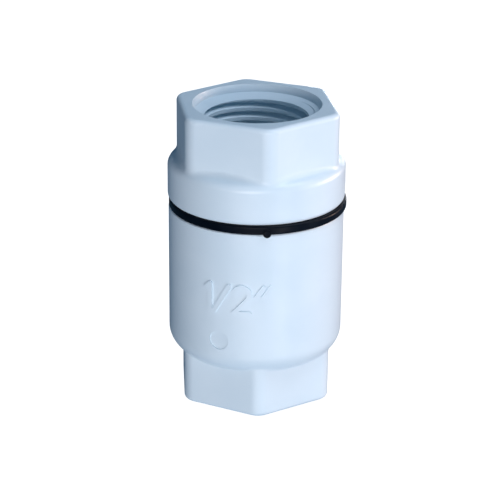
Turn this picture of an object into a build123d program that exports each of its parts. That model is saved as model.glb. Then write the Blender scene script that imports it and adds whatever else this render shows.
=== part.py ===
from build123d import *
from math import atan2, ceil, cos, degrees, radians, sin, sqrt, tan
import os

# Half-inch in-line spring check valve, white PVC, female pipe thread at both ends.
# The inlet body and the outlet cap screw together over a rubber gasket.
# A spring-loaded poppet inside closes downward on the inlet body and opens upward.
# Millimetres. The origin is the centre of the inlet face, +Z is the way of the flow.

# ---- half-inch pipe thread, 14 to the inch, in both sockets ----
pipe_pitch = 25.4 / 14
pipe_crest_radius = 9.32
pipe_thread_depth = 1.05
pipe_crest_flat = 0.6
pipe_flank_angle = 27.5
inlet_socket_depth = 13.0
outlet_socket_depth = 14.0
socket_plain_length = 2.2
socket_mouth_flare = 1.23
socket_throat_flare = 0.73
socket_mouth_depth = 1.35
socket_cone_depth = 0.9
outlet_thread_turn = 10.0

# ---- outside shape ----
inlet_hex_wall = 2.88
inlet_hex_height = 8.5
inlet_hex_corner = 3.0
inlet_hex_turn = 3.0
outlet_hex_wall = 3.38
outlet_hex_corner = 3.0
outlet_hex_turn = 8.5
hex_edge_round = 0.9
barrel_radius = 15.9
barrel_bottom_round = 4.0
barrel_top_round = 0.3
barrel_foot_round = 0.8
skirt_overhang = 0.15
skirt_height = 7.6
skirt_top_round = 1.6
skirt_bottom_round = 0.9
shoulder_round = 1.2
edge_search = 0.1

# ---- joining thread between inlet body and outlet cap ----
join_wall = 2.25
join_pitch = 2.0
join_depth = 0.8
join_crest_flat = 0.3
join_flank_angle = 30.0
join_radial_clearance = 0.15
join_axial_clearance = 0.2
join_thread_length = 7.8
join_thread_turn = 150.0
join_step_drop = 2.2
join_lead_in = 1.0
spigot_lead_in = 0.8
groove_overcut = 0.2

# ---- gasket between the shells ----
gasket_thickness = 1.6
gasket_overhang = 0.2
gasket_bore_clearance = 0.35
gasket_edge_round = 0.35
gasket_sideways_play = 0.25
gasket_nub_radius = 0.75
gasket_nub_drop = 0.5
gasket_nub_proud = 0.5
gasket_nub_gap = 0.05
gasket_nub_angle = 6.8

# ---- inlet body inside ----
seat_bore_radius = 7.2
seat_bore_length = 7.0
seat_lip_width = 1.2
seat_lip_height = 1.0
chamber_step = 0.25

# ---- outlet cap inside ----
spigot_wall = 1.8
spigot_reach = 6.4
guide_recess = 0.4
passage_widening = 0.6
passage_length = 3.0

# ---- poppet ----
poppet_lift = 4.5
seat_gap = 0.03
seal_overlap = 0.6
seal_thickness = 2.0
disc_rim_width = 0.6
disc_rim_drop = 1.4
disc_rim_gap = 0.05
disc_thickness = 2.2
disc_edge_bevel = 0.4
boss_height = 1.5
retainer_clearance = 0.6
retainer_thickness = 1.5
wing_count = 4
wing_clearance = 0.3
wing_nut_gap = 0.8
wing_thickness = 1.2
wing_length = 4.5
wing_turn = 45.0
stem_radius = 1.5
stem_hole_clearance = 0.06
stem_collar_width = 1.0
stem_collar_height = 0.8
stem_tail = 0.6
stem_tip = 1.2
stem_end_bevel = 0.3
nut_wall = 1.25
nut_height = 2.4
washer_overhang = 0.65
washer_thickness = 0.5

# ---- guide spider, bush and rings ----
guide_ring_height = 2.5
guide_ring_width = 1.4
guide_radial_clearance = 0.1
spoke_count = 4
spoke_width = 1.6
hub_wall = 1.2
hub_length = 6.92
lift_stop_gap = 0.05
bush_wall = 0.8
bush_radial_clearance = 0.05
bush_flange_width = 0.7
bush_flange_height = 0.4
stem_running_clearance = 0.08
clip_thickness = 0.6
clip_width = 1.7
clip_groove_depth = 0.4
clip_groove_clearance = 0.05
clip_end_gap = 0.1
clip_opening = 2.0
snap_ring_thickness = 0.9
snap_ring_width = 1.3
snap_ring_opening = 7.0
snap_ring_clearance = 0.1
snap_groove_depth = 0.5
snap_lug_radius = 1.1
snap_lug_inset = 0.15
snap_hole_radius = 0.45

# ---- return spring ----
spring_wire_radius = 0.4
spring_hub_gap = 0.5
spring_turns = 5.0
spring_end_gap = 0.05

# ---- moulded marks on the barrel: a plain size number and a sunken spot ----
mark_middle = 23.5
mark_reach = 2.5
mark_stroke = 0.85
mark_proud = 0.3
mark_root = 1.0
one_arc = -8.35
one_flag = 0.85
slash_arc = -6.15
slash_reach = 1.45
two_arc = -2.45
two_reach = 1.4
two_start = 170.0
two_sweep = -205.0
inch_arcs = (0.75, 2.05)
inch_reach = 0.9
inch_slant = 0.7
spot_radius = 1.8
spot_depth = 0.25
spot_height = 15.2
spot_arc = -6.7

# ---- heights, worked upward from the inlet face ----
seat_lip_top = inlet_socket_depth + seat_bore_length
chamber_floor = seat_lip_top - seat_lip_height
seal_bottom = seat_lip_top + seat_gap
seal_top = seal_bottom + seal_thickness
disc_top = seal_top + disc_thickness
boss_top = disc_top + boss_height
collar_top = boss_top + stem_collar_height
hub_bottom = collar_top + poppet_lift + lift_stop_gap
guide_top = hub_bottom + hub_length
guide_bottom = guide_top - guide_ring_height
outlet_ledge = guide_top + passage_length
total_height = outlet_ledge + outlet_socket_depth
skirt_bottom = guide_top - guide_recess
skirt_top = skirt_bottom + skirt_height
barrel_top = skirt_bottom - gasket_thickness
spigot_bottom = barrel_top - spigot_reach
retainer_bottom = seal_bottom - retainer_thickness
washer_bottom = retainer_bottom - washer_thickness
nut_bottom = washer_bottom - nut_height
stem_bottom = nut_bottom - stem_tail
bush_top = guide_top + bush_flange_height
clip_bottom = bush_top + clip_end_gap
clip_top = clip_bottom + clip_thickness
stem_top = clip_top + stem_tip
snap_ring_bottom = guide_bottom - snap_ring_thickness
spring_travel = guide_bottom - disc_top - 2 * (spring_end_gap + spring_wire_radius)
gasket_nub_height = barrel_top + gasket_nub_radius - gasket_nub_drop

# ---- pipe thread and hexagons ----
pipe_root_radius = pipe_crest_radius + pipe_thread_depth
pipe_groove_width = pipe_pitch - pipe_crest_flat
socket_mouth_radius = pipe_root_radius + socket_mouth_flare
socket_throat_radius = pipe_root_radius + socket_throat_flare
inlet_hex_flats = 2 * (pipe_root_radius + inlet_hex_wall)
outlet_hex_flats = 2 * (pipe_root_radius + outlet_hex_wall)

# ---- joining thread: the ridge of the spigot is narrower than the groove of the body ----
join_root_radius = barrel_radius - join_wall
join_crest_radius = join_root_radius - join_depth
join_groove_width = join_pitch - join_crest_flat
join_groove_start = barrel_top + join_pitch
join_groove_end = barrel_top - join_thread_length
join_step = join_groove_end - join_step_drop
spigot_crest_radius = join_root_radius - join_radial_clearance
spigot_root_radius = join_crest_radius - join_radial_clearance
spigot_turns = ceil((join_groove_start - spigot_bottom) / join_pitch) + 0.5
spigot_groove_start = join_groove_start - spigot_turns * join_pitch
spigot_groove_end = skirt_bottom - join_pitch / 2
ridge_crest_width = (
    join_groove_width
    - 2 * (join_depth - join_radial_clearance) * tan(radians(join_flank_angle))
    - 2 * join_axial_clearance
)
spigot_groove_width = join_pitch - ridge_crest_width

# ---- radii, worked from the bores and the barrel ----
chamber_radius = join_crest_radius - chamber_step
skirt_radius = barrel_radius + skirt_overhang
gasket_outer_radius = barrel_radius + gasket_overhang
gasket_inner_radius = spigot_crest_radius + gasket_bore_clearance
spigot_bore_radius = spigot_root_radius - spigot_wall
guide_radius = spigot_bore_radius - guide_radial_clearance
snap_groove_radius = spigot_bore_radius + snap_groove_depth
snap_ring_radius = snap_groove_radius - snap_ring_clearance
snap_lug_x = snap_ring_opening / 2 + snap_lug_radius - snap_lug_inset
snap_lug_y = -sqrt((snap_ring_radius - snap_lug_radius - snap_lug_inset) ** 2 - snap_lug_x**2)
outlet_passage_radius = seat_bore_radius + passage_widening
seat_lip_radius = seat_bore_radius + seat_lip_width
seal_radius = seat_lip_radius + seal_overlap
disc_radius = seal_radius + disc_rim_gap + disc_rim_width
retainer_radius = seat_bore_radius - retainer_clearance
stem_hole_radius = stem_radius + stem_hole_clearance
stem_collar_radius = stem_radius + stem_collar_width
nut_flats = 2 * (stem_radius + nut_wall)
washer_radius = nut_flats / 2 + washer_overhang
wing_inner_radius = washer_radius + wing_nut_gap
wing_span = seat_bore_radius - wing_clearance - wing_inner_radius
bush_bore_radius = stem_radius + stem_running_clearance
bush_outer_radius = bush_bore_radius + bush_wall
bush_flange_radius = bush_outer_radius + bush_flange_width
hub_bore_radius = bush_outer_radius + bush_radial_clearance
hub_radius = hub_bore_radius + hub_wall
clip_bore_radius = stem_radius - clip_groove_depth + clip_groove_clearance
clip_radius = clip_bore_radius + clip_width
spring_mean_radius = hub_radius + spring_hub_gap + spring_wire_radius
boss_radius = hub_radius


def thread_groove(mouth_radius, floor_radius, mouth_width, flank_angle, pitch, start, end):
    """A right-hand helical groove from a start outside the mouth to a blind end in the wall.

    Its section is carried past the mouth radius into the open space beside it. A groove that
    runs downward is made upside down and turned over, which keeps its hand.
    """
    turned_over = start > end
    height = abs(end - start)
    base = -start if turned_over else start
    depth = floor_radius - mouth_radius
    overcut = groove_overcut if depth > 0 else -groove_overcut
    spread = tan(radians(flank_angle))
    floor_half = mouth_width / 2 - abs(depth) * spread
    open_half = mouth_width / 2 + groove_overcut * spread
    with BuildPart() as groove:
        with BuildLine() as path:
            Helix(pitch, height, mouth_radius, center=(0, 0, base))
        with BuildSketch(Plane.XZ):
            with BuildLine():
                Polyline(
                    (mouth_radius - overcut, base - open_half),
                    (floor_radius, base - floor_half),
                    (floor_radius, base + floor_half),
                    (mouth_radius - overcut, base + open_half),
                    close=True,
                )
            make_face()
        sweep(path=path.line, is_frenet=True)
    return groove.part.rotate(Axis.X, 180) if turned_over else groove.part


def socket_flare(face_height, inward):
    """The flared mouth of a pipe socket, cut from its face; inward is +1 upward or -1 downward."""
    throat_height = face_height + inward * socket_mouth_depth
    crest_height = throat_height + inward * socket_cone_depth
    with BuildPart() as flare:
        with BuildSketch(Plane.XZ):
            with BuildLine():
                Polyline(
                    (0, face_height),
                    (socket_mouth_radius, face_height),
                    (socket_throat_radius, throat_height),
                    (pipe_crest_radius, crest_height),
                    (0, crest_height),
                    close=True,
                )
            make_face()
        revolve(axis=Axis.Z)
    return flare.part


def hexagon(flats, corner_round, turn):
    """A hexagon with rounded corners, one corner turned from -Y toward +X by the angle given."""
    with BuildSketch() as outline:
        RegularPolygon(flats / 2, 6, major_radius=False, rotation=turn - 90)
        fillet(outline.vertices(), corner_round)
    return outline.sketch


def barrel_plane(arc, height):
    """A plane inside the barrel wall, facing outward, at an arc length from -Y toward +X."""
    turn = arc / barrel_radius
    outward = Vector(sin(turn), -cos(turn), 0)
    origin = outward * (barrel_radius - mark_root) + Vector(0, 0, height)
    return Plane(origin, x_dir=(cos(turn), sin(turn), 0), z_dir=outward)


def stroke(start, end):
    """One round-ended stroke of the size mark, added to the sketch it is called in."""
    reach = Vector(*end) - Vector(*start)
    middle = (Vector(*end) + Vector(*start)) * 0.5
    with Locations(middle):
        SlotCenterToCenter(reach.length, mark_stroke, rotation=degrees(atan2(reach.Y, reach.X)))


# ---- thread grooves ----
inlet_groove = thread_groove(
    pipe_crest_radius,
    pipe_root_radius,
    pipe_groove_width,
    pipe_flank_angle,
    pipe_pitch,
    -pipe_pitch,
    inlet_socket_depth - socket_plain_length,
)
outlet_groove = thread_groove(
    pipe_crest_radius,
    pipe_root_radius,
    pipe_groove_width,
    pipe_flank_angle,
    pipe_pitch,
    total_height + pipe_pitch,
    outlet_ledge + socket_plain_length,
)
body_groove = thread_groove(
    join_crest_radius,
    join_root_radius,
    join_groove_width,
    join_flank_angle,
    join_pitch,
    join_groove_start,
    join_groove_end,
)
spigot_groove = thread_groove(
    spigot_crest_radius,
    spigot_root_radius,
    spigot_groove_width,
    join_flank_angle,
    join_pitch,
    spigot_groove_start,
    spigot_groove_end,
)

# ---- inlet body: hexagon foot, round barrel, threaded mouth on top ----
with BuildPart() as size_mark:
    with BuildSketch(barrel_plane(one_arc, mark_middle)):
        stroke((0, -mark_reach), (0, mark_reach))
        stroke((0, mark_reach), (-one_flag, mark_reach - one_flag))
    with BuildSketch(barrel_plane(slash_arc, mark_middle)):
        stroke((-slash_reach, -mark_reach), (slash_reach, mark_reach))
    with BuildSketch(barrel_plane(two_arc, mark_middle)):
        with BuildLine() as two_bow:
            CenterArc((0, mark_reach - two_reach), two_reach, two_start, two_sweep)
        SlotArc(two_bow.edge(), mark_stroke)
        stroke(two_bow.line @ 1, (-two_reach, -mark_reach))
        stroke((-two_reach, -mark_reach), (two_reach, -mark_reach))
    for inch_arc in inch_arcs:
        with BuildSketch(barrel_plane(inch_arc, mark_middle + mark_reach - inch_reach)):
            stroke((-inch_reach * inch_slant, -inch_reach), (inch_reach * inch_slant, inch_reach))
    extrude(amount=mark_root + 2 * mark_proud)
    Cylinder(barrel_radius + mark_proud, 2 * total_height, mode=Mode.INTERSECT)

with BuildPart() as inlet_body:
    with BuildSketch(Plane.XZ):
        with BuildLine():
            Polyline(
                (0, inlet_hex_height),
                (barrel_radius, inlet_hex_height),
                (barrel_radius, barrel_top),
                (0, barrel_top),
                close=True,
            )
        make_face()
    revolve(axis=Axis.Z)
    fillet(inlet_body.edges().group_by(Axis.Z)[0], barrel_bottom_round)
    fillet(inlet_body.edges().group_by(Axis.Z)[-1], barrel_top_round)
    with BuildSketch():
        add(hexagon(inlet_hex_flats, inlet_hex_corner, inlet_hex_turn))
    extrude(amount=inlet_hex_height + barrel_bottom_round)
    foot_edges = inlet_body.edges(Select.NEW).filter_by_position(
        Axis.Z, inlet_hex_height, inlet_hex_height + barrel_bottom_round / 2
    )
    fillet(foot_edges, barrel_foot_round)
    fillet(inlet_body.faces().sort_by(Axis.Z)[0].edges(), hex_edge_round)
    add(size_mark.part)
    with BuildSketch(barrel_plane(spot_arc, spot_height).offset(mark_root - spot_depth)):
        Circle(spot_radius)
    extrude(amount=mark_root, mode=Mode.SUBTRACT)
    with BuildSketch(Plane.XZ):
        with BuildLine():
            Polyline(
                (0, 0),
                (pipe_crest_radius, 0),
                (pipe_crest_radius, inlet_socket_depth),
                (seat_bore_radius, inlet_socket_depth),
                (seat_bore_radius, seat_lip_top),
                (seat_lip_radius, seat_lip_top),
                (seat_lip_radius, chamber_floor),
                (chamber_radius, chamber_floor),
                (chamber_radius, join_step),
                (join_crest_radius, join_step),
                (join_crest_radius, barrel_top),
                (0, barrel_top),
                close=True,
            )
        make_face()
    revolve(axis=Axis.Z, mode=Mode.SUBTRACT)
    add(inlet_groove, mode=Mode.SUBTRACT)
    add(body_groove, rotation=(0, 0, join_thread_turn), mode=Mode.SUBTRACT)
    add(socket_flare(0, 1), mode=Mode.SUBTRACT)
    with BuildSketch(Plane.XZ):
        with BuildLine():
            Polyline(
                (0, barrel_top - join_lead_in),
                (join_crest_radius, barrel_top - join_lead_in),
                (join_crest_radius + join_lead_in, barrel_top),
                (0, barrel_top),
                close=True,
            )
        make_face()
    revolve(axis=Axis.Z, mode=Mode.SUBTRACT)

# ---- body gasket: a rubber ring with a small moulding nub on its lower edge ----
with BuildPart() as body_gasket:
    with BuildSketch(Plane.XY.offset(barrel_top)):
        with Locations((gasket_sideways_play, 0)):
            Circle(gasket_outer_radius)
            Circle(gasket_inner_radius, mode=Mode.SUBTRACT)
    extrude(amount=gasket_thickness)
    rims = body_gasket.edges().filter_by(GeomType.CIRCLE).sort_by(SortBy.RADIUS)[-2:]
    fillet(rims, gasket_edge_round)
    with BuildSketch(barrel_plane(radians(gasket_nub_angle) * barrel_radius, gasket_nub_height)):
        Circle(gasket_nub_radius)
    extrude(amount=mark_root + gasket_nub_proud)
    nub_edges = body_gasket.edges(Select.LAST).filter_by(GeomType.CIRCLE)
    fillet(nub_edges.sort_by(Axis.Y)[0], gasket_nub_proud / 2)
    with BuildSketch(Plane.XY.offset(barrel_top - gasket_nub_radius)):
        Circle(barrel_radius + gasket_nub_gap)
    extrude(amount=gasket_nub_radius, mode=Mode.SUBTRACT)

# ---- outlet cap: skirt, hexagon with the outlet socket, threaded spigot below ----
with BuildPart() as outlet_cap:
    with BuildSketch(Plane.XZ):
        with BuildLine():
            Polyline(
                (0, skirt_bottom),
                (skirt_radius, skirt_bottom),
                (skirt_radius, skirt_top),
                (0, skirt_top),
                close=True,
            )
        make_face()
    revolve(axis=Axis.Z)
    fillet(outlet_cap.edges().group_by(Axis.Z)[0], skirt_bottom_round)
    fillet(outlet_cap.edges().group_by(Axis.Z)[-1], skirt_top_round)
    with BuildSketch(Plane.XY.offset(skirt_bottom + skirt_bottom_round)):
        add(hexagon(outlet_hex_flats, outlet_hex_corner, outlet_hex_turn))
    extrude(amount=total_height - skirt_bottom - skirt_bottom_round)
    shoulder_edges = outlet_cap.edges(Select.NEW).filter_by_position(
        Axis.Z, skirt_top - skirt_top_round, skirt_top + edge_search
    )
    fillet(shoulder_edges, shoulder_round)
    fillet(outlet_cap.faces().sort_by(Axis.Z)[-1].edges(), hex_edge_round)
    with BuildSketch(Plane.XZ):
        with BuildLine():
            Polyline(
                (0, spigot_bottom),
                (spigot_crest_radius, spigot_bottom),
                (spigot_crest_radius, skirt_bottom),
                (0, skirt_bottom),
                close=True,
            )
        make_face()
    revolve(axis=Axis.Z)
    add(spigot_groove, rotation=(0, 0, join_thread_turn), mode=Mode.SUBTRACT)
    with BuildSketch(Plane.XZ):
        with BuildLine():
            Polyline(
                (0, total_height),
                (pipe_crest_radius, total_height),
                (pipe_crest_radius, outlet_ledge),
                (outlet_passage_radius, outlet_ledge),
                (outlet_passage_radius, guide_top),
                (spigot_bore_radius, guide_top),
                (spigot_bore_radius, guide_bottom + snap_ring_clearance),
                (snap_groove_radius, guide_bottom + snap_ring_clearance),
                (snap_groove_radius, snap_ring_bottom - snap_ring_clearance),
                (spigot_bore_radius, snap_ring_bottom - snap_ring_clearance),
                (spigot_bore_radius, spigot_bottom),
                (0, spigot_bottom),
                close=True,
            )
        make_face()
    revolve(axis=Axis.Z, mode=Mode.SUBTRACT)
    add(outlet_groove, rotation=(0, 0, outlet_thread_turn), mode=Mode.SUBTRACT)
    add(socket_flare(total_height, -1), mode=Mode.SUBTRACT)
    with BuildSketch(Plane.XZ):
        with BuildLine():
            Polyline(
                (spigot_crest_radius - spigot_lead_in, spigot_bottom),
                (spigot_crest_radius, spigot_bottom),
                (spigot_crest_radius, spigot_bottom + spigot_lead_in),
                close=True,
            )
        make_face()
    revolve(axis=Axis.Z, mode=Mode.SUBTRACT)

# ---- guide spider: outer ring, spokes and a long hub, held in the spigot ----
with BuildPart() as guide_spider:
    with BuildSketch(Plane.XY.offset(guide_bottom)):
        Circle(guide_radius)
        Circle(guide_radius - guide_ring_width, mode=Mode.SUBTRACT)
        with PolarLocations(0, spoke_count):
            Rectangle(guide_radius - guide_ring_width / 2, spoke_width, align=(Align.MIN, Align.CENTER))
    extrude(amount=guide_ring_height)
    with BuildSketch(Plane.XY.offset(hub_bottom)):
        Circle(hub_radius)
    extrude(amount=guide_top - hub_bottom)
    with BuildSketch(Plane.XY.offset(hub_bottom)):
        Circle(hub_bore_radius)
    extrude(amount=guide_top - hub_bottom, mode=Mode.SUBTRACT)

# ---- stem bush: a flanged acetal sleeve in the hub ----
with BuildPart() as stem_bush:
    with BuildSketch(Plane.XY.offset(hub_bottom)):
        Circle(bush_outer_radius)
    extrude(amount=guide_top - hub_bottom)
    with BuildSketch(Plane.XY.offset(guide_top)):
        Circle(bush_flange_radius)
    extrude(amount=bush_flange_height)
    with BuildSketch(Plane.XY.offset(hub_bottom)):
        Circle(bush_bore_radius)
    extrude(amount=bush_top - hub_bottom, mode=Mode.SUBTRACT)

# ---- snap ring: an open ring with two lugs, sprung into the spigot groove ----
with BuildPart() as snap_ring:
    with BuildSketch(Plane.XY.offset(snap_ring_bottom)):
        Circle(snap_ring_radius)
        Circle(snap_ring_radius - snap_ring_width, mode=Mode.SUBTRACT)
        with Locations((0, -snap_ring_radius)):
            Rectangle(snap_ring_opening, 4 * snap_ring_width, mode=Mode.SUBTRACT)
        with Locations((-snap_lug_x, snap_lug_y), (snap_lug_x, snap_lug_y)):
            Circle(snap_lug_radius)
            Circle(snap_hole_radius, mode=Mode.SUBTRACT)
    extrude(amount=snap_ring_thickness)

# ---- return spring: round wire coiled between the disc and the spokes ----
with BuildPart() as return_spring:
    with BuildLine() as spring_path:
        Helix(
            spring_travel / spring_turns,
            spring_travel,
            spring_mean_radius,
            center=(0, 0, disc_top + spring_end_gap + spring_wire_radius),
        )
    with BuildSketch(Plane(spring_path.line @ 0, z_dir=spring_path.line % 0)):
        Circle(spring_wire_radius)
    sweep(path=spring_path.line, is_frenet=True)

# ---- valve stem: collar above the disc, clip groove near the top, nut end below ----
with BuildPart() as valve_stem:
    with BuildSketch(Plane.XZ):
        with BuildLine():
            Polyline(
                (0, stem_bottom),
                (stem_radius - stem_end_bevel, stem_bottom),
                (stem_radius, stem_bottom + stem_end_bevel),
                (stem_radius, boss_top),
                (stem_collar_radius, boss_top),
                (stem_collar_radius, collar_top),
                (stem_radius, collar_top),
                (stem_radius, clip_bottom - clip_groove_clearance),
                (stem_radius - clip_groove_depth, clip_bottom - clip_groove_clearance),
                (stem_radius - clip_groove_depth, clip_top + clip_groove_clearance),
                (stem_radius, clip_top + clip_groove_clearance),
                (stem_radius, stem_top - stem_end_bevel),
                (stem_radius - stem_end_bevel, stem_top),
                (0, stem_top),
                close=True,
            )
        make_face()
    revolve(axis=Axis.Z)

# ---- stem clip: a flat open ring snapped into the groove of the stem ----
with BuildPart() as stem_clip:
    with BuildSketch(Plane.XY.offset(clip_bottom)):
        Circle(clip_radius)
        Circle(clip_bore_radius, mode=Mode.SUBTRACT)
        with Locations((0, -clip_radius)):
            Rectangle(clip_opening, 2 * clip_radius, mode=Mode.SUBTRACT)
    extrude(amount=clip_thickness)

# ---- valve disc: flat plate with a rim round the seal and a boss inside the spring ----
with BuildPart() as valve_disc:
    with BuildSketch(Plane.XZ):
        with BuildLine():
            Polyline(
                (stem_hole_radius, seal_top),
                (seal_radius + disc_rim_gap, seal_top),
                (seal_radius + disc_rim_gap, seal_top - disc_rim_drop),
                (disc_radius, seal_top - disc_rim_drop),
                (disc_radius, disc_top - disc_edge_bevel),
                (disc_radius - disc_edge_bevel, disc_top),
                (boss_radius, disc_top),
                (boss_radius, boss_top),
                (stem_hole_radius, boss_top),
                close=True,
            )
        make_face()
    revolve(axis=Axis.Z)

# ---- seat seal: a flat rubber washer that closes on the seat lip ----
with BuildPart() as seat_seal:
    with BuildSketch(Plane.XY.offset(seal_bottom)):
        Circle(seal_radius)
        Circle(stem_hole_radius, mode=Mode.SUBTRACT)
    extrude(amount=seal_thickness)

# ---- seal retainer: clamp plate with wings that slide in the seat bore ----
with BuildPart() as seal_retainer:
    with BuildSketch(Plane.XY.offset(retainer_bottom)):
        Circle(retainer_radius)
    extrude(amount=retainer_thickness)
    with BuildSketch(Plane.XY.offset(retainer_bottom - wing_length)):
        with PolarLocations(0, wing_count, wing_turn):
            with Locations((wing_inner_radius, 0)):
                Rectangle(wing_span, wing_thickness, align=(Align.MIN, Align.CENTER))
    extrude(amount=wing_length)
    with BuildSketch(Plane.XY.offset(retainer_bottom)):
        Circle(stem_hole_radius)
    extrude(amount=retainer_thickness, mode=Mode.SUBTRACT)

# ---- stem washer ----
with BuildPart() as stem_washer:
    with BuildSketch(Plane.XY.offset(washer_bottom)):
        Circle(washer_radius)
        Circle(stem_hole_radius, mode=Mode.SUBTRACT)
    extrude(amount=washer_thickness)

# ---- stem nut: clamps the seal and the disc against the collar of the stem ----
with BuildPart() as stem_nut:
    with BuildSketch(Plane.XY.offset(nut_bottom)):
        RegularPolygon(nut_flats / 2, 6, major_radius=False)
        Circle(stem_hole_radius, mode=Mode.SUBTRACT)
    extrude(amount=nut_height)

# ---- label each piece and write it ----
pieces = {
    "inlet_body": inlet_body,
    "body_gasket": body_gasket,
    "outlet_cap": outlet_cap,
    "guide_spider": guide_spider,
    "stem_bush": stem_bush,
    "snap_ring": snap_ring,
    "return_spring": return_spring,
    "valve_stem": valve_stem,
    "stem_clip": stem_clip,
    "valve_disc": valve_disc,
    "seat_seal": seat_seal,
    "seal_retainer": seal_retainer,
    "stem_washer": stem_washer,
    "stem_nut": stem_nut,
}
os.makedirs("parts", exist_ok=True)
for name, piece in pieces.items():
    piece.part.label = name
    export_step(piece.part, f"parts/{name}.step")
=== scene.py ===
import math

import bmesh
import bpy
from mathutils import Matrix, Vector


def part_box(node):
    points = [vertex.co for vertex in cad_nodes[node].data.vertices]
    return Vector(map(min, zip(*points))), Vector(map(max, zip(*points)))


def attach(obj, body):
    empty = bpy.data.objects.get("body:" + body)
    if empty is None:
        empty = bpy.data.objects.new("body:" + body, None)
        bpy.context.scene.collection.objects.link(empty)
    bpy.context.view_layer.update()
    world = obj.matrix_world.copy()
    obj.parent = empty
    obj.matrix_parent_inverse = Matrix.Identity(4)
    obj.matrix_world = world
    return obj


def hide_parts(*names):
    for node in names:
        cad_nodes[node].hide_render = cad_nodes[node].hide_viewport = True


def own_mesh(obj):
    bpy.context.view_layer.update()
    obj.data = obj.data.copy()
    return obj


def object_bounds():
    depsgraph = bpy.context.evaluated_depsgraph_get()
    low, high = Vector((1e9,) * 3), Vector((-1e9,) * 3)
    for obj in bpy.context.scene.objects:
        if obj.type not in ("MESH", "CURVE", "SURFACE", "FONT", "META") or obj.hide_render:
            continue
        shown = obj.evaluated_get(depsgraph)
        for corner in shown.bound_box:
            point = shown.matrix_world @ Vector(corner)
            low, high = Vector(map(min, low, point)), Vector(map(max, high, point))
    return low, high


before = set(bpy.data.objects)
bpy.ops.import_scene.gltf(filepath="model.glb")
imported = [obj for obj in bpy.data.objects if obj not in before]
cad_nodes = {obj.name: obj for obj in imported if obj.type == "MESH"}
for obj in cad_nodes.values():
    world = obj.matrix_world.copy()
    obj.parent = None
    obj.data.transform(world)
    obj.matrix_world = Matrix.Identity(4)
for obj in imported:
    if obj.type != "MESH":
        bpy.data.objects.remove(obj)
cad_low, cad_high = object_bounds()


# ---- Inlet body ----
# The lower shell of the valve: a hexagon foot, a round barrel and the seat for the seal.
# It is injection moulded in glossy cool-white PVC, with the size number raised on the barrel.


class Wire:
    """One output of a node, so that maths on it is written as plain arithmetic."""

    def __init__(self, nodes, socket):
        self.nodes = nodes
        self.socket = socket

    def maths(self, operation, *values):
        return self.nodes.node("ShaderNodeMath", {"operation": operation}, dict(enumerate(values)))

    def __add__(self, other):
        return self.maths("ADD", self, other)

    def __radd__(self, other):
        return self.maths("ADD", other, self)

    def __sub__(self, other):
        return self.maths("SUBTRACT", self, other)

    def __rsub__(self, other):
        return self.maths("SUBTRACT", other, self)

    def __mul__(self, other):
        return self.maths("MULTIPLY", self, other)

    def __rmul__(self, other):
        return self.maths("MULTIPLY", other, self)

    def __truediv__(self, other):
        return self.maths("DIVIDE", self, other)

    def __rtruediv__(self, other):
        return self.maths("DIVIDE", other, self)

    def __pow__(self, other):
        return self.maths("POWER", self, other)


class Nodes:
    """A node tree whose nodes are made with their settings first and their sockets after.

    A list of values all goes to one socket that takes many links.
    """

    def __init__(self, tree):
        self.tree = tree

    def node(self, kind, settings, values, out=0):
        made = self.tree.nodes.new(kind)
        for setting, value in settings.items():
            setattr(made, setting, value)
        for socket, value in values.items():
            for one in value if isinstance(value, list) else [value]:
                self.join(one, made.inputs[socket])
        return Wire(self, made.outputs[out])

    def join(self, value, socket):
        if isinstance(value, Wire):
            self.tree.links.new(value.socket, socket)
        else:
            socket.default_value = value


class Finish(Nodes):
    """A material of one Principled shader, with its constants set on the shader's own sockets."""

    def __init__(self, name, constants):
        self.material = bpy.data.materials.new(name)
        self.material.use_nodes = True
        super().__init__(self.material.node_tree)
        self.shader = self.tree.nodes["Principled BSDF"]
        for socket, value in constants.items():
            self.shader.inputs[socket].default_value = value
        self.place = self.node("ShaderNodeTexCoord", {}, {}, out="Object")

    def noise(self, scale, detail, place=None):
        values = {"Vector": place or self.place, "Scale": scale, "Detail": detail}
        return self.node("ShaderNodeTexNoise", {}, values, out="Fac")

    def between(self, value, low, high):
        values = {"Value": value, "From Min": low, "From Max": high}
        return self.node("ShaderNodeMapRange", {"interpolation_type": "SMOOTHSTEP"}, values)

    def colour(self, share, first, second):
        factor, colour_a, colour_b, mixed = 0, 6, 7, 2
        values = {factor: share, colour_a: (*first, 1.0), colour_b: (*second, 1.0)}
        self.feed("Base Color", self.node("ShaderNodeMix", {"data_type": "RGBA"}, values, out=mixed))

    def relief(self, height, depth):
        values = {"Height": height, "Distance": depth, "Strength": 1.0}
        self.feed("Normal", self.node("ShaderNodeBump", {}, values))

    def feed(self, socket, wire):
        self.join(wire, self.shader.inputs[socket])

    def coat(self, piece):
        piece.data.materials.clear()
        piece.data.materials.append(self.material)


pvc = Finish("white_pvc", {"IOR": 1.53, "Specular IOR Level": 0.46})
pvc_cloud = pvc.between(pvc.noise(scale=90.0, detail=3.0), low=0.35, high=0.65)
pvc_flow = pvc.noise(scale=420.0, detail=4.0)
pvc_peel = pvc.noise(scale=1300.0, detail=2.0)
pvc.colour(pvc_cloud, first=(0.665, 0.782, 0.845), second=(0.700, 0.810, 0.868))
pvc.feed("Roughness", 0.30 + 0.12 * pvc_flow)
pvc.relief(pvc_peel + 0.8 * pvc_flow, depth=0.000007)

inlet_body = cad_nodes["inlet_body"]
pvc.coat(inlet_body)


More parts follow.
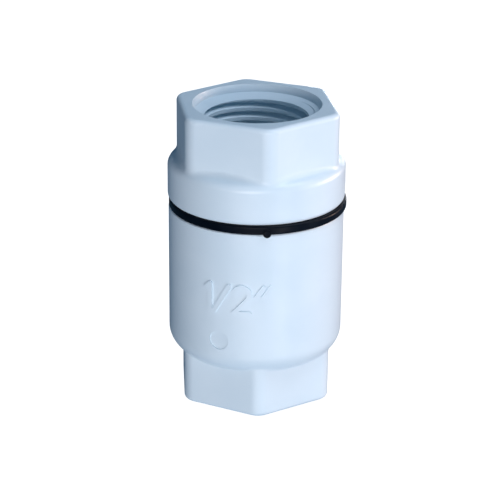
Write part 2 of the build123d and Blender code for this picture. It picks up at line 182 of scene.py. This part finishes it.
# ---- Body gasket ----
# A flat black rubber ring clamped between the two shells, with a moulding nub under its front edge.
# It is moulded from soft EPDM rubber, which keeps a faint sheen and a dusty bloom.
gasket_rubber = Finish("gasket_rubber", {"IOR": 1.5, "Specular IOR Level": 0.09})
gasket_cloud = gasket_rubber.noise(scale=260.0, detail=4.0)
gasket_bloom = gasket_rubber.between(gasket_cloud, low=0.4, high=0.75)
gasket_grain = gasket_rubber.noise(scale=3800.0, detail=3.0)
gasket_rubber.colour(gasket_bloom, first=(0.0012, 0.0028, 0.0065), second=(0.003, 0.006, 0.011))
gasket_rubber.feed("Roughness", 0.24 + 0.2 * gasket_bloom + 0.1 * gasket_grain)
gasket_rubber.relief(gasket_grain + gasket_bloom, depth=0.000008)

body_gasket = cad_nodes["body_gasket"]
gasket_rubber.coat(body_gasket)


# ---- Outlet cap ----
# The upper shell: a hexagon with a threaded socket, on a round skirt that is screwed into the barrel.
# It is moulded in the same PVC as the inlet body.
outlet_cap = cad_nodes["outlet_cap"]
pvc.coat(outlet_cap)


# ---- Guide spider ----
# A ring with four spokes and a long hub, which sits in the spigot of the cap and guides the stem.
# It is injection moulded in off-white acetal, in one piece with rounded edges.
millimetre = 0.001


def reach_of(node):
    """The lowest height, the highest height and the outer radius of a CAD node, in millimetres."""
    low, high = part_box(node)
    return low[2] / millimetre, high[2] / millimetre, high[0] / millimetre


def rounded(corners, steps=5):
    """An outline of (radius, height, edge round) corners in millimetres, with its corners eased.

    The edge round is how far the curve reaches along both sides of the corner.
    """
    outline = []
    for place, (radius, height, edge) in enumerate(corners):
        corner = Vector((radius, height))
        before = Vector(corners[place - 1][:2]) - corner
        after = Vector(corners[(place + 1) % len(corners)][:2]) - corner
        if edge == 0:
            outline.append(corner)
            continue
        start = corner + before.normalized() * edge
        end = corner + after.normalized() * edge
        for step in range(steps + 1):
            share = step / steps
            outline.append(start.lerp(corner, share).lerp(corner.lerp(end, share), share))
    return outline


def band(bore, outer, bottom, top, bore_edge, outer_edge):
    """The outline of a flat ring or a sleeve, with its edges eased."""
    corners = [(bore, bottom, bore_edge), (outer, bottom, outer_edge), (outer, top, outer_edge)]
    return rounded(corners + [(bore, top, bore_edge)])


def turned(outlines, reach=None, around=96):
    """A mesh in millimetres made by turning closed outlines round the axis of the valve.

    reach gives the true radius at an angle, for a piece that isn't quite round.
    """
    shape = bmesh.new()
    for outline in outlines:
        rings = []
        for radius, height in outline:
            ring = []
            for step in range(around if radius > 0 else 1):
                angle = step * math.tau / around
                far = reach(radius, height, angle) if reach else radius
                ring.append(shape.verts.new((far * math.cos(angle), far * math.sin(angle), height)))
            rings.append(ring)
        for lower, upper in zip(rings, rings[1:] + rings[:1]):
            if len(lower) == len(upper) == 1:
                continue
            for step in range(around):
                after = step + 1
                corners = [lower[step % len(lower)], lower[after % len(lower)]]
                corners += [upper[after % len(upper)], upper[step % len(upper)]]
                shape.faces.new(list(dict.fromkeys(corners)))
    bmesh.ops.recalc_face_normals(shape, faces=shape.faces)
    mesh = bpy.data.meshes.new("turned")
    shape.to_mesh(mesh)
    shape.free()
    return mesh


def shown(name, mesh, finish, crease=38):
    """A finished piece from a mesh in millimetres, with smooth faces and crisp edges.

    An edge is crisp where its faces turn by more than crease, in degrees.
    """
    mesh.name = name
    mesh.transform(Matrix.Scale(millimetre, 4))
    mesh.shade_smooth()
    mesh.set_sharp_from_angle(angle=math.radians(crease))
    piece = bpy.data.objects.new(name, mesh)
    bpy.context.scene.collection.objects.link(piece)
    finish.coat(piece)
    return piece


class Recipe(Nodes):
    """A Geometry Nodes tree with named inputs in millimetres, run once to give a plain mesh."""

    def __init__(self, name, inputs):
        super().__init__(bpy.data.node_groups.new(name, "GeometryNodeTree"))
        face = self.tree.interface
        face.new_socket("Geometry", in_out="INPUT", socket_type="NodeSocketGeometry")
        self.names = {}
        for label, kind in inputs.items():
            socket = face.new_socket(label, in_out="INPUT", socket_type="NodeSocket" + kind)
            self.names[label] = socket.identifier
        face.new_socket("Geometry", in_out="OUTPUT", socket_type="NodeSocketGeometry")
        self.given = self.tree.nodes.new("NodeGroupInput")
        self.result = self.tree.nodes.new("NodeGroupOutput")

    def size(self, label):
        return Wire(self, self.given.outputs[label])

    def point(self, across=0.0, along=0.0, up=0.0):
        return self.node("ShaderNodeCombineXYZ", {}, {0: across, 1: along, 2: up})

    def end(self, shape):
        plain = self.node("GeometryNodeRealizeInstances", {}, {"Geometry": shape})
        values = {"Geometry": plain, "Material": self.size("Material")}
        self.join(self.node("GeometryNodeSetMaterial", {}, values), self.result.inputs["Geometry"])

    def run(self, base, values):
        carrier = bpy.data.objects.new(self.tree.name, base)
        bpy.context.scene.collection.objects.link(carrier)
        modifier = carrier.modifiers.new(self.tree.name, "NODES")
        modifier.node_group = self.tree
        for label, value in values.items():
            modifier[self.names[label]] = value
        evaluated = carrier.evaluated_get(bpy.context.evaluated_depsgraph_get())
        mesh = bpy.data.meshes.new_from_object(evaluated)
        carrier.modifiers.remove(modifier)
        bpy.data.objects.remove(carrier)
        return mesh


# Ribs that stand out from the axis like spokes, evenly spaced and joined to a turned base.
rib_lengths = ("Turn", "Inner radius", "Outer radius", "Bottom", "Top", "Width", "Edge round")
rib_inputs = {"Material": "Material", "Count": "Int", **{label: "Float" for label in rib_lengths}}
ribs = Recipe("ribs_round_a_hub", rib_inputs)
rib_height = ribs.size("Top") - ribs.size("Bottom")
rib_middle = ribs.size("Bottom") + rib_height * 0.5
rib_line = ribs.node(
    "GeometryNodeCurvePrimitiveLine",
    {},
    {
        "Start": ribs.point(across=ribs.size("Inner radius"), up=rib_middle),
        "End": ribs.point(across=ribs.size("Outer radius"), up=rib_middle),
    },
)
rib_section = ribs.node(
    "GeometryNodeCurvePrimitiveQuadrilateral", {}, {"Width": ribs.size("Width"), "Height": rib_height}
)
rib_edge_steps = 4
rib_eased = ribs.node(
    "GeometryNodeFilletCurve",
    {"mode": "POLY"},
    {"Curve": rib_section, "Count": rib_edge_steps, "Radius": ribs.size("Edge round")},
)
rib_bar = ribs.node(
    "GeometryNodeCurveToMesh", {}, {"Curve": rib_line, "Profile Curve": rib_eased, "Fill Caps": True}
)
rib_index = ribs.node("GeometryNodeInputIndex", {}, {})
rib_angle = rib_index * (math.tau / ribs.size("Count")) + ribs.size("Turn")
rib_places = ribs.node(
    "GeometryNodeMeshLine", {}, {"Count": ribs.size("Count"), "Offset": (0.0, 0.0, 0.0)}
)
rib_ring = ribs.node(
    "GeometryNodeInstanceOnPoints",
    {},
    {"Points": rib_places, "Instance": rib_bar, "Rotation": ribs.point(up=rib_angle)},
)
rib_solids = ribs.node("GeometryNodeRealizeInstances", {}, {"Geometry": rib_ring})
ribs.end(
    ribs.node(
        "GeometryNodeMeshBoolean",
        {"operation": "UNION", "solver": "EXACT"},
        {"Mesh 2": [rib_solids, ribs.size("Geometry")]},
    )
)

acetal = Finish("guide_acetal", {"IOR": 1.48, "Specular IOR Level": 0.4})
acetal_cloud = acetal.noise(scale=350.0, detail=3.0)
acetal_grain = acetal.noise(scale=5200.0, detail=2.0)
acetal.colour(acetal_cloud, first=(0.66, 0.685, 0.70), second=(0.74, 0.755, 0.765))
acetal.feed("Roughness", 0.42 + 0.14 * acetal_cloud)
acetal.relief(acetal_grain + acetal_cloud, depth=0.000006)

hub_bottom, guide_top, guide_radius = reach_of("guide_spider")
guide_ring_height = 2.5
guide_ring_width = 1.4
guide_bottom = guide_top - guide_ring_height
hub_bore = 2.43
hub_radius = 3.63
spoke_top_sink = 0.2
spoke_bottom_sink = 0.02
guide_ring = band(
    guide_radius - guide_ring_width,
    guide_radius,
    guide_bottom,
    guide_top,
    bore_edge=0.2,
    outer_edge=0.3,
)
guide_hub = band(hub_bore, hub_radius, hub_bottom, guide_top, bore_edge=0.12, outer_edge=0.25)
guide_mesh = ribs.run(
    turned([guide_ring, guide_hub]),
    {
        "Material": acetal.material,
        "Count": 4,
        "Turn": 0.0,
        "Inner radius": (hub_bore + hub_radius) / 2,
        "Outer radius": guide_radius - guide_ring_width / 2,
        "Bottom": guide_bottom + spoke_bottom_sink,
        "Top": guide_top - spoke_top_sink,
        "Width": 1.6,
        "Edge round": 0.3,
    },
)
guide_moulding = shown("guide_moulding", guide_mesh, acetal)
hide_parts("guide_spider")
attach(guide_moulding, "cap")


# ---- Stem bush ----
# A flanged sleeve pressed into the hub, in which the stem slides.
# It is turned from black acetal, so its faces show fine tool rings.


def tool_rings(finish, spacing):
    """Fine rings left by a turning tool, as noise over the distance from the axis and the height."""
    across, along, up = (
        finish.node("ShaderNodeSeparateXYZ", {}, {0: finish.place}, out=axis)
        for axis in ("X", "Y", "Z")
    )
    from_axis = (across * across + along * along) ** 0.5
    spun = finish.node("ShaderNodeCombineXYZ", {}, {0: from_axis, 2: up})
    return finish.noise(scale=1.0 / spacing, detail=2.0, place=spun)


bush_acetal = Finish("bush_acetal", {"IOR": 1.48, "Specular IOR Level": 0.45})
bush_marks = tool_rings(bush_acetal, spacing=0.00012)
bush_acetal.colour(bush_marks, first=(0.036, 0.036, 0.040), second=(0.066, 0.066, 0.072))
bush_acetal.feed("Roughness", 0.38 + 0.15 * bush_marks)
bush_acetal.relief(bush_marks, depth=0.000004)

bush_bottom, bush_top, flange_radius = reach_of("stem_bush")
bush_bore = 1.58
bush_radius = 2.38
bush_outline = rounded(
    [
        (bush_bore, bush_bottom, 0.1),
        (bush_radius, bush_bottom, 0.15),
        (bush_radius, guide_top, 0.0),
        (flange_radius, guide_top, 0.1),
        (flange_radius, bush_top, 0.1),
        (bush_bore, bush_top, 0.12),
    ]
)
bush_sleeve = shown("bush_sleeve", turned([bush_outline]), bush_acetal)
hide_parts("stem_bush")
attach(bush_sleeve, "cap")


# ---- Snap ring ----
# A flat open ring with two lugs, sprung into a groove of the spigot to hold the spider.
# It is stamped from stainless spring strip.
spring_steel = Finish("spring_steel", {"Metallic": 1.0})
steel_haze = spring_steel.noise(scale=700.0, detail=4.0)
steel_grain = spring_steel.noise(scale=9000.0, detail=2.0)
spring_steel.colour(steel_haze, first=(0.53, 0.53, 0.515), second=(0.68, 0.68, 0.665))
spring_steel.feed("Roughness", 0.22 + 0.2 * steel_haze)
spring_steel.relief(steel_grain, depth=0.000002)

snap_ring = cad_nodes["snap_ring"]
spring_steel.coat(snap_ring)


# ---- Return spring ----
# A compression spring between the disc and the spokes, with its end turns closed.
# It is coiled from round stainless spring wire.
coil_points = 301
wire_sides = 14
end_lengths = ("Closed share", "End pitch share")
coil_lengths = ("Mean radius", "Wire radius", "Turns", "Bottom", "Top", *end_lengths)
coil_inputs = {"Material": "Material", **{label: "Float" for label in coil_lengths}}
coil = Recipe("closed_end_coil", coil_inputs)
coil_line = coil.node("GeometryNodeCurvePrimitiveLine", {}, {"End": (0.0, 0.0, 1.0)})
coil_steps = coil.node("GeometryNodeResampleCurve", {}, {"Curve": coil_line, "Count": coil_points})
coil_share = coil.node("GeometryNodeSplineParameter", {}, {}, out="Factor")
coil_angle = coil_share * coil.size("Turns") * math.tau
coil_swell = coil.node(
    "ShaderNodeMapRange",
    {"interpolation_type": "SMOOTHSTEP"},
    {
        "Value": coil_share,
        "From Min": coil.size("Closed share"),
        "From Max": 1.0 - coil.size("Closed share"),
    },
)
coil_even = coil.size("End pitch share")
coil_rise = coil_even * coil_share + (1.0 - coil_even) * coil_swell
coil_low = coil.size("Bottom") + coil.size("Wire radius")
coil_high = coil.size("Top") - coil.size("Wire radius")
coil_place = coil.point(
    across=coil.size("Mean radius") * coil_angle.maths("COSINE", coil_angle),
    along=coil.size("Mean radius") * coil_angle.maths("SINE", coil_angle),
    up=coil_low + (coil_high - coil_low) * coil_rise,
)
coil_path = coil.node("GeometryNodeSetPosition", {}, {"Geometry": coil_steps, "Position": coil_place})
coil_section = coil.node(
    "GeometryNodeCurvePrimitiveCircle",
    {},
    {"Resolution": wire_sides, "Radius": coil.size("Wire radius")},
)
coil_wire = {"Curve": coil_path, "Profile Curve": coil_section, "Fill Caps": True}
coil.end(coil.node("GeometryNodeCurveToMesh", {}, coil_wire))

spring_bottom, spring_top, _ = reach_of("return_spring")
end_clearance = 0.02
spring_mesh = coil.run(
    bpy.data.meshes.new("no_base"),
    {
        "Material": spring_steel.material,
        "Mean radius": 4.53,
        "Wire radius": 0.395,
        "Turns": 5.0,
        "Bottom": spring_bottom + end_clearance,
        "Top": spring_top - end_clearance,
        "Closed share": 0.1,
        "End pitch share": 0.42,
    },
)
spring_coil = shown("spring_coil", spring_mesh, spring_steel)
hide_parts("return_spring")
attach(spring_coil, "cap")
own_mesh(spring_coil)


# ---- Valve stem ----
# The rod that carries the disc, with a collar above the disc, a groove for the clip near its top
# and a thread for the nut at its foot. It is turned from stainless bar.
stainless = Finish("turned_stainless", {"Metallic": 1.0})
turning_marks = tool_rings(stainless, spacing=0.00009)
stainless_haze = stainless.noise(scale=500.0, detail=3.0)
stainless.colour(stainless_haze, first=(0.60, 0.60, 0.59), second=(0.70, 0.70, 0.69))
stainless.feed("Roughness", 0.2 + 0.14 * turning_marks + 0.08 * stainless_haze)
stainless.relief(turning_marks, depth=0.000003)

stem_bottom, stem_top, collar_radius = reach_of("valve_stem")
stem_radius = 1.5
stem_end_bevel = 0.25
stem_end_radius = 1.15
stem_crown_radius = 0.9
thread_pitch = 0.5
thread_depth = 0.27
thread_top = 18.3
thread_rings = 49
thread_ring_step = thread_pitch / 8
collar_bottom = 25.73
collar_top = 26.53
clip_groove_radius = 1.1
clip_groove_bottom = 38.45
clip_groove_top = 39.15


def stem_reach(radius, height, angle):
    """The radius of the rod, with a screw thread that fades out just above the nut."""
    if radius == 0 or height > thread_top:
        return radius
    turn = (height / thread_pitch - angle / math.tau) % 1.0
    fade = min(1.0, (thread_top - height) / thread_pitch)
    return radius - thread_depth * fade * abs(2.0 * turn - 1.0)


thread_bottom = stem_bottom + stem_end_bevel
stem_outline = [Vector((0.0, stem_bottom)), Vector((stem_end_radius, stem_bottom))]
stem_outline += [
    Vector((stem_radius, thread_bottom + ring * thread_ring_step)) for ring in range(thread_rings)
]
stem_outline += rounded(
    [
        (stem_radius, collar_bottom, 0.05),
        (collar_radius, collar_bottom, 0.12),
        (collar_radius, collar_top, 0.12),
        (stem_radius, collar_top, 0.05),
        (stem_radius, clip_groove_bottom, 0.04),
        (clip_groove_radius, clip_groove_bottom, 0.0),
        (clip_groove_radius, clip_groove_top, 0.0),
        (stem_radius, clip_groove_top, 0.04),
        (stem_radius, stem_top, 0.3),
        (stem_crown_radius, stem_top, 0.1),
    ]
)
stem_outline.append(Vector((0.0, stem_top)))
stem_rod = shown("stem_rod", turned([stem_outline], stem_reach, around=64), stainless)
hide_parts("valve_stem")
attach(stem_rod, "poppet")


# ---- Stem clip ----
# A flat open ring snapped into the groove of the stem, which stops the poppet from dropping out.
# It is stamped from the same spring strip as the snap ring.
stem_clip = cad_nodes["stem_clip"]
spring_steel.coat(stem_clip)


# ---- Valve disc ----
# The plate behind the seal, with a rim round the seal and a boss that centres the spring.
# It is moulded in the same acetal as the spider.
rim_bottom, boss_top, disc_radius = reach_of("valve_disc")
stem_hole = 1.56
seal_seat_height = 22.03
seal_seat_radius = 9.05
disc_top = 24.23
boss_radius = 3.63
disc_outline = rounded(
    [
        (stem_hole, seal_seat_height, 0.0),
        (seal_seat_radius, seal_seat_height, 0.0),
        (seal_seat_radius, rim_bottom, 0.1),
        (disc_radius, rim_bottom, 0.15),
        (disc_radius, disc_top, 0.5),
        (boss_radius, disc_top, 0.08),
        (boss_radius, boss_top, 0.3),
        (stem_hole, boss_top, 0.12),
    ]
)
disc_plate = shown("disc_plate", turned([disc_outline]), acetal)
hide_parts("valve_disc")
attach(disc_plate, "poppet")


# ---- Seat seal ----
# A flat rubber washer held under the disc, which closes on the lip of the seat.
# It is cut from moulded black rubber sheet, so it is matt and finely pitted.
seal_rubber = Finish("seal_rubber", {"IOR": 1.5, "Specular IOR Level": 0.3})
seal_bloom = seal_rubber.noise(scale=500.0, detail=4.0)
seal_pits = seal_rubber.noise(scale=4600.0, detail=2.0)
seal_rubber.colour(seal_bloom, first=(0.014, 0.014, 0.0155), second=(0.028, 0.028, 0.030))
seal_rubber.feed("Roughness", 0.62 + 0.16 * seal_bloom)
seal_rubber.relief(seal_pits, depth=0.000012)

seal_bottom, seal_top, seal_radius = reach_of("seat_seal")
seal_outline = band(
    stem_hole, seal_radius, seal_bottom, seal_top, bore_edge=0.1, outer_edge=0.18
)
seal_washer = shown("seal_washer", turned([seal_outline]), seal_rubber)
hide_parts("seat_seal")
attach(seal_washer, "poppet")


# ---- Seal retainer ----
# The clamp plate under the seal, with four wings that slide in the bore of the seat.
# It is moulded in acetal in one piece.
wing_bottom, retainer_top, retainer_radius = reach_of("seal_retainer")
retainer_thickness = 1.5
retainer_bottom = retainer_top - retainer_thickness
wing_root = 0.27
retainer_plate = band(
    stem_hole, retainer_radius, retainer_bottom, retainer_top, bore_edge=0.1, outer_edge=0.22
)
retainer_mesh = ribs.run(
    turned([retainer_plate]),
    {
        "Material": acetal.material,
        "Count": 4,
        "Turn": math.radians(45.0),
        "Inner radius": 4.2,
        "Outer radius": 6.9,
        "Bottom": wing_bottom,
        "Top": retainer_bottom + wing_root,
        "Width": 1.2,
        "Edge round": 0.22,
    },
)
winged_retainer = shown("winged_retainer", retainer_mesh, acetal)
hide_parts("seal_retainer")
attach(winged_retainer, "poppet")


# ---- Stem washer ----
# A plain washer between the nut and the retainer.
# It is stamped from stainless strip, so its edges are slightly rolled.
washer_bottom, washer_top, washer_radius = reach_of("stem_washer")
washer_outline = band(
    stem_hole, washer_radius, washer_bottom, washer_top, bore_edge=0.05, outer_edge=0.1
)
plain_washer = shown("plain_washer", turned([washer_outline]), stainless)
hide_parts("stem_washer")
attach(plain_washer, "poppet")


# ---- Stem nut ----
# The hexagon nut that clamps the stack against the collar of the stem.
# It is cut from stainless hexagon bar, with both ends chamfered.
nut_bottom, nut_top, nut_corner = reach_of("stem_nut")
nut_flats = 5.5
nut_face_radius = 2.62
nut_chamfer = 0.3
hole_chamfer = 0.15


def nut_reach(radius, height, angle):
    """The turned outline of the nut, cut off by the six flats of the bar."""
    from_flat = math.radians(30.0) - angle % math.radians(60.0)
    return min(radius, nut_flats / 2 / math.cos(from_flat))


nut_outline = [
    (stem_hole, nut_bottom + hole_chamfer),
    (stem_hole + hole_chamfer, nut_bottom),
    (nut_face_radius, nut_bottom),
    (nut_corner, nut_bottom + nut_chamfer),
    (nut_corner, nut_top - nut_chamfer),
    (nut_face_radius, nut_top),
    (stem_hole + hole_chamfer, nut_top),
    (stem_hole, nut_top - hole_chamfer),
]
hexagon_nut = shown("hexagon_nut", turned([nut_outline], nut_reach), stainless)
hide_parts("stem_nut")
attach(hexagon_nut, "poppet")


# ---- Studio ----
# A plain pale floor under a white surround, with soft boxes in front, at the side, behind and above.
# Two low boxes stand for the light that a white table throws up at the valve. The floor is a hair
# below the foot of the valve, and lets the low boxes shine through.
floor_reach = 3.0
floor_height = -0.0002
floor_square = ((-1, -1), (1, -1), (1, 1), (-1, 1))
floor_corners = [(x * floor_reach, y * floor_reach, floor_height) for x, y in floor_square]
floor_mesh = bpy.data.meshes.new("studio_floor")
floor_mesh.from_pydata(floor_corners, [], [(0, 1, 2, 3)])
floor = bpy.data.objects.new("studio_floor", floor_mesh)
bpy.context.scene.collection.objects.link(floor)
pale_floor = Finish(
    "pale_floor",
    {
        "Base Color": (0.3, 0.3, 0.3, 1.0),
        "Roughness": 0.9,
        "Specular IOR Level": 0.0,
        "Emission Color": (1, 1, 1, 1),
        "Emission Strength": 1.0,
    },
)
pale_floor.coat(floor)
floor.visible_diffuse = False
floor.visible_glossy = False
floor.visible_shadow = False

world = bpy.data.worlds.new("studio_surround")
bpy.context.scene.world = world
world.use_nodes = True
sky = Nodes(world.node_tree)
sky_way = sky.node("ShaderNodeTexCoord", {}, {}, out="Generated")
sky_brightest_way = (0.45, -0.55, -0.70)
sky_lean = sky.node(
    "ShaderNodeVectorMath",
    {"operation": "DOT_PRODUCT"},
    {0: sky_way, 1: sky_brightest_way},
    out="Value",
)
sky_glow = sky.node("ShaderNodeMapRange", {}, {"Value": sky_lean, "To Min": 0.09, "To Max": 0.33})
sky_wash = sky.node(
    "ShaderNodeBackground", {}, {"Color": (0.30, 0.82, 1.45, 1.0), "Strength": sky_glow}
)
sky_white = sky.node("ShaderNodeBackground", {}, {"Color": (1.0, 1.0, 1.0, 1.0), "Strength": 1.0})
sky_seen = sky.node("ShaderNodeLightPath", {}, {}, out="Is Camera Ray")
sky_both = sky.node("ShaderNodeMixShader", {}, {0: sky_seen, 1: sky_wash, 2: sky_white})
sky.join(sky_both, sky.tree.nodes["World Output"].inputs["Surface"])


def soft_box(name, way, size, power, colour):
    """An area light of a width and height in metres, turned to face the middle of the valve.

    way is its azimuth and elevation in degrees, and its distance in metres.
    """
    azimuth, elevation, distance = way
    light = bpy.data.lights.new(name, "AREA")
    light.shape = "RECTANGLE"
    light.size, light.size_y = size
    light.energy = power
    light.color = colour
    turn = math.radians(azimuth)
    rise = math.radians(elevation)
    middle = (cad_low[2] + cad_high[2]) / 2
    level = math.cos(rise)
    away = Vector((math.sin(turn) * level, -math.cos(turn) * level, math.sin(rise)))
    box = bpy.data.objects.new(name, light)
    box.location = Vector((0, 0, middle)) + away * distance
    box.rotation_euler = away.to_track_quat("Z", "Y").to_euler()
    box.visible_camera = False
    bpy.context.scene.collection.objects.link(box)


soft_box("front_box", (-6, 2, 0.7), (0.40, 0.10), power=2.55, colour=(1.045, 0.955, 0.95))
soft_box("bounce_box", (0, -34, 0.6), (0.40, 0.16), power=0.70, colour=(1.02, 0.965, 0.92))
soft_box("side_box", (104, 3, 0.6), (0.40, 0.12), power=2.35, colour=(1.17, 0.865, 0.73))
soft_box("sheen_box", (34, -22, 0.6), (0.10, 0.12), power=0.35, colour=(1.0, 0.95, 0.97))
soft_box("top_box", (66, 66, 0.6), (0.30, 0.30), power=1.92, colour=(0.88, 0.965, 1.10))
soft_box("back_box", (165, 2, 0.7), (0.30, 0.08), power=0.90, colour=(0.97, 1.0, 1.06))

camera_aim = Vector((-0.00114, 0.0, 0.02678))
camera_distance = 0.35364
camera_height = math.radians(21.97)
camera_roll = math.radians(0.525)
camera_data = bpy.data.cameras.new("studio_camera")
camera_data.lens = 138.86
camera_data.clip_start = 0.01
camera_data.clip_end = 20
camera = bpy.data.objects.new("studio_camera", camera_data)
right = Vector((1, 0, 0))
ahead = Vector((0, math.cos(camera_height), -math.sin(camera_height)))
upward = Vector((0, math.sin(camera_height), math.cos(camera_height)))
facing = Matrix((right, upward, -ahead)).transposed().to_4x4()
stand = Matrix.Translation(camera_aim - camera_distance * ahead)
camera.matrix_world = stand @ facing @ Matrix.Rotation(camera_roll, 4, "Z")
bpy.context.scene.collection.objects.link(camera)
bpy.context.scene.camera = camera
bpy.context.scene.view_settings.view_transform = "Standard"
